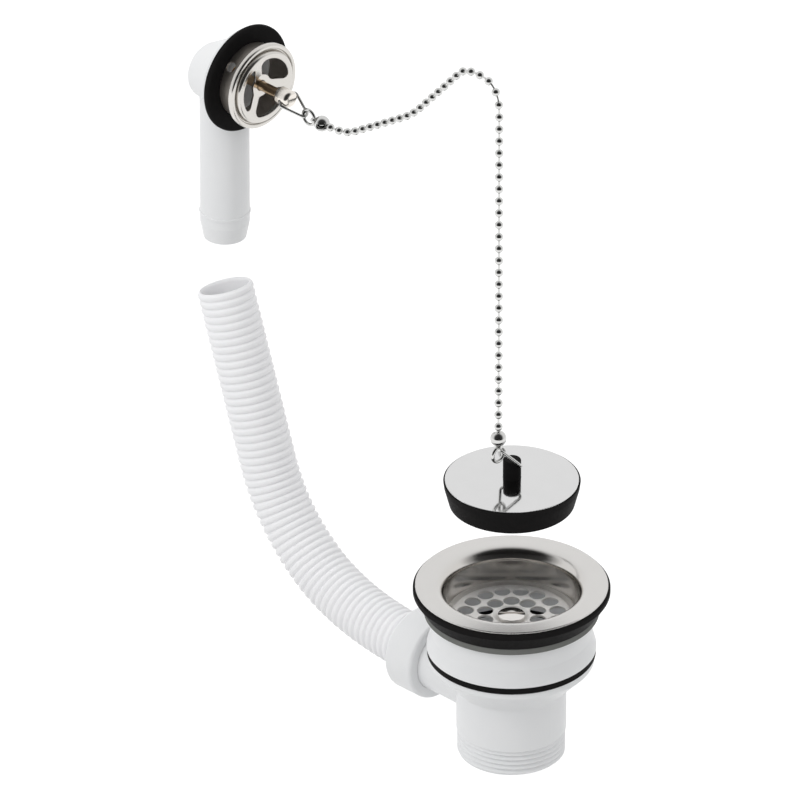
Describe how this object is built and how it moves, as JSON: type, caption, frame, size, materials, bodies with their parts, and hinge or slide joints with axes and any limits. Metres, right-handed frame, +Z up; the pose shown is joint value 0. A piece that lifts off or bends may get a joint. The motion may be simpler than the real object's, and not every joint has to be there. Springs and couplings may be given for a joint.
{
  "type": "basin grid waste",
  "caption": "Basin grid waste: flanged strainer bowl on a threaded outlet body, with a corrugated overflow pipe, an overflow elbow with rosette, and a plug on a ball chain.",
  "frame": {"origin": "on the waste's axis, on the underside of the strainer's flange, where it seats on the sink", "axes": "+Z up along the waste's axis, -X towards the side port and the overflow, +X the way the overflow faces"},
  "size_m": [0.2347, 0.087, 0.3398],
  "materials": {
    "white_plastic": "smooth moulded",
    "pipe_plastic": "blow moulded",
    "black_rubber": "matt",
    "grey_rubber": "matt",
    "chrome_plate": "polished",
    "satin_steel": "satin",
    "chain_metal": "bright",
    "brass": "turned"
  },
  "bodies": {
    "root": {"ball_chain": "chain_metal", "body_gasket": "black_rubber", "body_insert": "brass", "elbow_insert": "brass", "flange_gasket": "black_rubber", "hose_nut": "white_plastic", "hose_washer": "black_rubber", "overflow_elbow": "white_plastic", "overflow_gasket": "black_rubber", "overflow_hose": "pipe_plastic", "overflow_rosette": "chrome_plate", "overflow_screw": "brass", "plug_body": "black_rubber", "plug_clasp": "chain_metal", "plug_cover": "chrome_plate", "plug_link": "chain_metal", "plug_ring": "chain_metal", "screw_clasp": "chain_metal", "screw_link": "chain_metal", "screw_ring": "chain_metal", "sink_washer": "grey_rubber", "strainer_bowl": "satin_steel", "strainer_screw": "chrome_plate", "upper_ring": "white_plastic", "waste_body": "white_plastic"}
  },
  "joints": []
}
